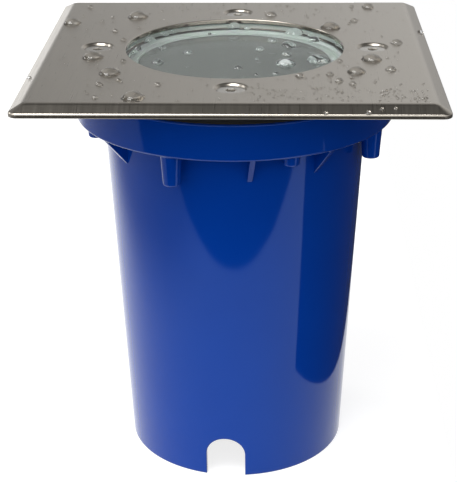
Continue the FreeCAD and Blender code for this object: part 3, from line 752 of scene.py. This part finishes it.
def brushed_stainless():
    """Stainless sheet with a satin brush along Y: lines are drawn about 0.3 mm apart, coarser
    than the real 0.1 mm, so that they show. The grain spreads highlights across the lines, and
    some lines are rougher than others. The window's punched edge is smoother."""
    material, tree, shader, place = new_material(
        "brushed_stainless_steel", Metallic=1.0, Roughness=0.3, Anisotropic=0.55)
    lines = noise(tree, place, 0.28, detail=4, roughness=0.65, stretch=(1, 50, 50))
    blend_colours(tree, shader, lines, "#9a948b", "#b0aaa0")
    rough = add_node(tree, "ShaderNodeMapRange", {
        "Value": lines, "From Min": 0.3, "From Max": 0.7, "To Min": 0.27, "To Max": 0.34})
    reach = from_axis(tree, place)
    punched = add_node(tree, "ShaderNodeMapRange", {
        "Value": reach, "From Min": (window_radius + 0.02) * mm,
        "From Max": (window_radius + 0.1) * mm, "To Min": 0.12,
        "To Max": rough.outputs["Result"]})
    tree.links.new(punched.outputs["Result"], shader.inputs["Roughness"])
    set_bump(tree, shader, lines, 0.000008)
    tangent = add_node(tree, "ShaderNodeTangent", direction_type="UV_MAP", uv_map="brushing")
    tree.links.new(tangent.outputs["Tangent"], shader.inputs["Tangent"])
    return material


def lay_flat(piece, layer):
    """Texture layer that runs across the brushing: X first, then Y."""
    mesh = piece.data
    corner = np.empty(len(mesh.loops), int)
    mesh.loops.foreach_get("vertex_index", corner)
    place = np.empty(len(mesh.vertices) * 3)
    mesh.vertices.foreach_get("co", place)
    flat = place.reshape(-1, 3)[corner, :2] / (cover_side * mm) + 0.5
    mesh.uv_layers.new(name=layer).data.foreach_set("uv", flat.ravel())


stainless = brushed_stainless()
cover_sheet_piece = add_piece("cover_sheet", *cover_mesh(), stainless, "cover", "stainless_steel",
                              ["cover_plate"], crease=40)
lay_flat(cover_sheet_piece, "brushing")


# ---------------------------------------------------------------------------------------------
# Cover screws: four M4 countersunk screws in stainless steel with a hexagon socket, turned heads
# and rolled threads, driven into the brass inserts.
screw_low, screw_high = (np.array(corner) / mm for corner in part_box("cover_screws"))
head_top = screw_high[2]
head_radius = 3.75
head_edge = 0.25               # from the head's top to where its cone starts
shank_radius = 2.0
socket_half_width = 1.25
socket_depth = 1.5
thread_pitch = 0.7
thread_depth = 0.3
thread_rows = 9                # for each turn
screw_columns = 96


def screw_mesh():
    """Rows from the socket's floor over the head and down the thread to the tip.

    The socket's rows follow a hexagon, half width / cos(angle from the nearest flat). The thread's
    rows sink by a triangle wave of height / pitch - turn / full circle.
    """
    turn = np.linspace(0, 2 * math.pi, screw_columns, endpoint=False)
    flat = (turn + math.pi / 6) % (math.pi / 3) - math.pi / 6
    hexagon = socket_half_width / np.cos(flat)
    neck = head_top - head_edge - (head_radius - shank_radius)
    rows = [
        (0 * turn, head_top - socket_depth - 0.3),
        (hexagon * 0.9, head_top - socket_depth),
        (hexagon, head_top - socket_depth + 0.1),
        (hexagon, head_top - 0.12),
        (hexagon + 0.04, head_top - 0.03),
        (hexagon + 0.14, head_top),
    ]
    rows += [(0 * turn + radius, head_top) for radius in (1.9, 2.6, 3.2, head_radius - 0.12)]
    rows += [(0 * turn + head_radius - 0.03, head_top - 0.04), (0 * turn + head_radius, head_top - 0.13)]
    rows += [(0 * turn + head_radius, head_top - head_edge), (0 * turn + shank_radius, neck)]
    tip = screw_low[2]
    level = np.linspace(neck - 0.4, tip + 0.6, int((neck - tip) / thread_pitch * thread_rows))
    wave = np.abs((level[:, None] / thread_pitch - turn / (2 * math.pi)) % 1 - 0.5) * 2
    rows += [(shank_radius - thread_depth * row, z) for row, z in zip(wave, level)]
    rows += [(0 * turn + shank_radius - thread_depth - 0.3, tip), (0 * turn, tip)]
    radius = np.stack([row[0] for row in rows])
    height = np.array([row[1] for row in rows])[:, None]
    return np.stack(np.broadcast_arrays(radius * np.sin(turn), -radius * np.cos(turn), height), -1)


def turned_stainless():
    """Machined stainless steel: brighter than the sheet, with fine rings on the head."""
    material, tree, shader, place = new_material(
        "turned_stainless_steel", Metallic=1.0, Roughness=0.24)
    blend_colours(tree, shader, noise(tree, place, 1.5, detail=3), "#a8a59f", "#c4c1bb")
    return material


screws = around(screw_mesh() + [0, -screw_circle, 0], 4)
add_piece("socket_head_screws", *stitched(screws), turned_stainless(), "cover", "screw_steel",
          ["cover_screws"], crease=28)


# ---------------------------------------------------------------------------------------------
# Rain on the cover, which isn't part of the light: domed drops on the steel and the glass that
# ride with it. The large ones lie where the photograph shows them, the fine ones are scattered.
water_depth = 0.05             # how far a drop reaches down into what it stands on
glass_top = glass_high[2]
contact_loss = 7.5             # degrees of contact angle, for each millimetre of radius
steepest_contact = 78          # degrees
spray_seed = 7
spray_reach = 50.5             # of the fine drops along X and Y, from the middle
spray_patches = [              # X, Y, half width, half depth and count of drops
    (0, 0, 50, 50, 420), (17, -44, 16, 6, 170), (42, -45, 8, 5, 90), (2, 43, 30, 7, 70),
]
finest_radius = 0.12
finest_spread = 0.32           # what the luckiest draw adds to that radius
steel_spots = [                # X, Y, radius
    (-49.0, 26.1, 2.6), (-30.1, 33.5, 3.0), (-38.6, -10.6, 2.9), (-32.4, -25.9, 2.9),
    (-24.2, -46.8, 3.1), (-40.3, 27.7, 0.8), (-35.3, 16.8, 1.0), (-31.9, 7.1, 0.9),
    (-28.6, 20.2, 0.7), (-37.7, 32.9, 0.6), (-45.8, 45.0, 1.0), (-34.0, -35.8, 1.0),
    (-29.5, -31.8, 0.8), (-33.9, -47.0, 0.8), (-18.9, -35.9, 0.9), (-29.9, -14.4, 0.8),
    (-23.2, 40.1, 0.5), (10.1, 35.6, 1.7), (27.5, 21.0, 3.1), (34.9, 28.8, 1.1),
    (33.3, 25.4, 0.6), (40.0, 45.2, 1.9), (34.9, 45.7, 0.8), (37.6, -12.6, 2.8),
    (32.8, -24.1, 2.4), (45.6, 4.1, 1.6), (42.0, -22.1, 1.5), (28.8, -14.2, 0.8),
    (25.7, -26.8, 1.1), (27.9, -32.4, 1.2), (31.3, -35.1, 1.0), (31.4, -29.5, 0.7),
    (17.8, -27.9, 1.2),
]
glass_spots = [
    (-24.8, 12.2, 1.9), (-27.4, 3.2, 1.2), (-28.4, -1.4, 0.6), (-21.2, 18.5, 1.5),
    (-18.6, 21.6, 0.9), (-13.8, 25.4, 0.8), (-7.8, 19.0, 0.6), (-20.6, 3.9, 1.3),
    (-13.1, -1.2, 1.3), (-20.9, -10.7, 1.7), (-0.9, 27.8, 2.0), (3.1, 25.2, 1.0),
    (17.0, 20.3, 2.8), (22.0, 17.6, 1.2), (22.6, 12.3, 1.8), (14.6, -2.6, 1.4),
    (14.3, -11.6, 2.8), (10.6, 11.7, 1.5), (15.1, 6.8, 2.2), (7.1, 2.6, 1.3),
    (6.4, -7.3, 0.6), (23.2, -8.2, 3.3), (1.3, -16.0, 1.2), (11.4, -21.1, 0.8), (6.2, -22.0, 0.7),
]
bevel_spots = [                # X, Y, radius and height below the top face
    (-53.6, -26.6, 0.7, 1.1), (53.7, 19.8, 1.0, 1.15), (37.5, -53.2, 0.6, 0.9),
    (40.9, -53.0, 0.5, 0.8), (34.2, -54.4, 0.8, 1.5), (23.7, -54.5, 0.6, 1.6),
]


def drop_grid(x, y, radius, level, steps=10, columns=36):
    """Cap of a sphere on a slightly uneven round foot.

    Its contact angle falls from about 77 degrees on the smallest drops to 53 on the largest.
    Height is sphere radius x (cos(a) - cos(contact angle)), with a from 0 to the contact angle.
    """
    contact = math.radians(steepest_contact - contact_loss * radius)
    sphere = radius / math.sin(contact)
    a = np.linspace(0, contact, steps)
    reach = np.concatenate([sphere * np.sin(a), [radius, 0]])[:, None]
    rise = np.concatenate([sphere * (np.cos(a) - math.cos(contact)), [-water_depth, -water_depth]])
    turn = np.linspace(0, 2 * math.pi, columns, endpoint=False)
    uneven = 1 + 0.05 * np.sin(2 * turn + 3 * x) + 0.03 * np.sin(3 * turn + 5 * y)
    return np.stack(np.broadcast_arrays(
        x + reach * uneven * np.sin(turn), y - reach * uneven * np.cos(turn),
        level + rise[:, None]), axis=-1)


def fine_spray():
    """Small drops all over the steel, closer together at the front right and at the back. The
    cube of the draw keeps most of them fine."""
    chance = np.random.default_rng(spray_seed)
    spots = []
    for x, y, half_width, half_depth, count in spray_patches:
        place = chance.uniform(-1, 1, (count, 2)) * [half_width, half_depth] + [x, y]
        radius = finest_radius + finest_spread * chance.random(count) ** 3
        spots.append(np.column_stack([place, radius]))
    spots = np.concatenate(spots)
    x, y = spots[:, 0], spots[:, 1]
    on_screw = np.hypot(np.abs(x) - screw_circle * (np.abs(x) > np.abs(y)),
                        np.abs(y) - screw_circle * (np.abs(x) <= np.abs(y))) < dimple_radius + 1
    clear = (np.hypot(x, y) > window_radius + 0.8) & (np.maximum(np.abs(x), np.abs(y)) < spray_reach)
    return spots[clear & ~on_screw]


water = clear_glass("rain_water", "#ffffff", 1.333)[0]
drops = [drop_grid(x, y, radius, cover_top) for x, y, radius in steel_spots]
drops += [drop_grid(x, y, radius, glass_top) for x, y, radius in glass_spots]
drops += [drop_grid(x, y, radius, cover_top - drop) for x, y, radius, drop in bevel_spots]
drops += [drop_grid(x, y, radius, cover_top, 5, 14) for x, y, radius in fine_spray()]
rain = add_piece("rain_drops", *stitched(drops), water, "cover", "clear_glass", crease=60)


# ---------------------------------------------------------------------------------------------
# Studio, in metres but for the camera's place: a white sheet, a room with a dark card for the
# window and a light card for the cover's left slope, a soft box high in front and a small one
# behind on the left. The camera stands where fitting it to the photograph put it.
camera_place = (10.67, -386.91, 107.97 + cover_top)
camera_turn = math.radians(-1.90)
camera_tilt = math.radians(23.37)
camera_roll = math.radians(-0.47)
photo_height = 482
focal_pixels = 1420.5
card_edge = 0.015
dark_level = 0.05              # of the room overhead and below the level
dark_card_level = 0.36
light_card_level = 1.9
front_level = 1.7
cover_middle = (0, 0, 0.12)
sheet_glow = 0.8
sheet_outline = [(-0.9, -0.152), (0.3, -0.152), (0.064, -0.05), (0.064, 0.6), (-0.9, 0.6)]


def stand_camera():
    """Camera from its place, its heading to the right of +Y, its tilt down and its roll."""
    ahead = np.array([
        math.sin(camera_turn) * math.cos(camera_tilt),
        math.cos(camera_turn) * math.cos(camera_tilt),
        -math.sin(camera_tilt),
    ])
    level = np.array([math.cos(camera_turn), -math.sin(camera_turn), 0])
    upright = np.cross(level, ahead)
    right = math.cos(camera_roll) * level + math.sin(camera_roll) * upright
    up = math.cos(camera_roll) * upright - math.sin(camera_roll) * level
    data = bpy.data.cameras.new("photo_camera")
    data.sensor_width = 36
    data.lens = focal_pixels * data.sensor_width / photo_height
    data.clip_start = 0.01
    camera = bpy.data.objects.new("photo_camera", data)
    place = Matrix(np.column_stack([right, up, -ahead]).tolist()).to_4x4()
    place.translation = [value * mm for value in camera_place]
    camera.matrix_world = place
    bpy.context.scene.collection.objects.link(camera)
    bpy.context.scene.camera = camera


def ramp(tree, value, start, end, low, high):
    """Smooth step from low, where the value is start, to high, where it is end."""
    return add_node(tree, "ShaderNodeMapRange", {
        "Value": value, "From Min": start, "From Max": end, "To Min": low, "To Max": high,
    }, interpolation_type="SMOOTHSTEP").outputs["Result"]


def product(tree, first, second):
    """One number times another."""
    return add_node(tree, "ShaderNodeMath", {0: first, 1: second}, operation="MULTIPLY").outputs[0]


def larger(tree, first, second):
    """The larger of two numbers."""
    return add_node(tree, "ShaderNodeMath", {0: first, 1: second}, operation="MAXIMUM").outputs[0]


def white_sheet():
    """Matt white paper. To the camera, in gloss and through glass it glows by what its light lacks
    to white, so that only the object's shadow darkens it. In gloss and through glass the glow
    dies away on the left, outside the picture."""
    mesh = bpy.data.meshes.new("white_sheet")
    mesh.from_pydata([(x, y, 0) for x, y in sheet_outline], [], [range(len(sheet_outline))])
    material, tree, shader, place = new_material(
        "white_paper", Base_Color=srgb("#a4a4a4"), Roughness=0.95,
        Emission_Color=srgb("#ffffff"))
    axis = add_node(tree, "ShaderNodeSeparateXYZ", {0: place}).outputs
    aside = add_node(tree, "ShaderNodeMath", {0: axis["Y"], 1: 0.35, 2: axis["X"]},
                     operation="MULTIPLY_ADD").outputs[0]
    in_picture = ramp(tree, aside, -0.2, -0.1, 0, 1)
    path = add_node(tree, "ShaderNodeLightPath").outputs
    mirrored = larger(tree, path["Is Glossy Ray"], path["Is Transmission Ray"])
    shown = larger(tree, path["Is Camera Ray"], product(tree, mirrored, in_picture))
    glow = product(tree, shown, sheet_glow)
    tree.links.new(glow, shader.inputs["Emission Strength"])
    mesh.materials.append(material)
    sheet = bpy.data.objects.new("white_sheet", mesh)
    bpy.context.scene.collection.objects.link(sheet)


def mixed(tree, factor, low, high):
    """Number that goes from low to high as the factor goes from 0 to 1."""
    return add_node(tree, "ShaderNodeMix", {0: factor, 2: low, 3: high}).outputs[0]


def card(tree, axis, low, high):
    """1 within a soft-edged box of directions, given by low and high values by axis, else 0."""
    edges = [ramp(tree, axis[name], start - card_edge, start, 0, 1) for name, start in low.items()]
    edges += [ramp(tree, axis[name], end, end + card_edge, 1, 0) for name, end in high.items()]
    inside = edges[0]
    for edge in edges[1:]:
        inside = product(tree, inside, edge)
    return inside


def room_light():
    """World by direction: how bright the room is low and high behind, in front, overhead and
    below the level. A dark card behind keeps the window clear of reflections, and a light card
    low behind on the left shows in the cover's left slope. The camera sees it all white."""
    world = bpy.data.worlds.new("studio")
    bpy.context.scene.world = world
    world.use_nodes = True
    tree = world.node_tree
    toward = add_node(tree, "ShaderNodeTexCoord").outputs["Generated"]
    axis = add_node(tree, "ShaderNodeSeparateXYZ", {0: toward}).outputs
    right = ramp(tree, axis["X"], -0.22, 0.02, 0, 1)
    low_behind = mixed(tree, right, 0.95, 0.5)
    high_behind = mixed(tree, right, 0.34, 0.86)
    behind = mixed(tree, ramp(tree, axis["Z"], 0.06, 0.2, 0, 1), low_behind, high_behind)
    dark_card = card(tree, axis, {"X": -0.11, "Z": 0.248}, {"X": 0.05, "Z": 0.293})
    behind = mixed(tree, dark_card, behind, dark_card_level)
    behind = mixed(tree, ramp(tree, axis["Z"], 0.5, 0.85, 0, 1), behind, dark_level)
    side = ramp(tree, axis["X"], -0.6, 0.6, 0.9, 0.35)
    front = ramp(tree, axis["Y"], -0.95, -0.1, front_level, side)
    front = mixed(tree, ramp(tree, axis["Z"], 0.55, 0.95, 0, 1), front, dark_level)
    around_object = mixed(tree, ramp(tree, axis["Y"], 0.1, 0.6, 0, 1), front, behind)
    below = ramp(tree, axis["Z"], -0.03, 0.0, 1, 0)
    level = mixed(tree, below, around_object, dark_level)
    light_card = card(tree, axis, {"X": -0.5, "Y": 0.3, "Z": -0.13}, {"X": -0.24, "Z": 0.07})
    level = mixed(tree, light_card, level, light_card_level)
    path = add_node(tree, "ShaderNodeLightPath").outputs["Is Camera Ray"]
    sky = next(node for node in tree.nodes if node.type == "BACKGROUND")
    sky.inputs["Color"].default_value = (1, 1, 1, 1)
    tree.links.new(mixed(tree, path, level, 1.0), sky.inputs["Strength"])


def soft_box(name, place, target, width, height, power):
    """Area lamp that faces a point."""
    data = bpy.data.lights.new(name, "AREA")
    data.shape = "RECTANGLE"
    data.size, data.size_y, data.energy = width, height, power
    lamp = bpy.data.objects.new(name, data)
    away = np.array(place) - np.array(target)
    away = away / np.linalg.norm(away)
    side = np.cross([0, 0, 1], away)
    side = side / np.linalg.norm(side)
    turn = Matrix(np.column_stack([side, np.cross(away, side), away]).tolist()).to_4x4()
    turn.translation = place
    lamp.matrix_world = turn
    bpy.context.scene.collection.objects.link(lamp)


stand_camera()
white_sheet()
room_light()
soft_box("key_box", (-0.3, -0.36, 1.04), cover_middle, 0.8, 0.5, 14)
soft_box("side_box", (-0.75, 0.35, 0.55), cover_middle, 0.25, 0.25, 1.6)

scene = bpy.context.scene
scene.view_settings.view_transform = "Standard"
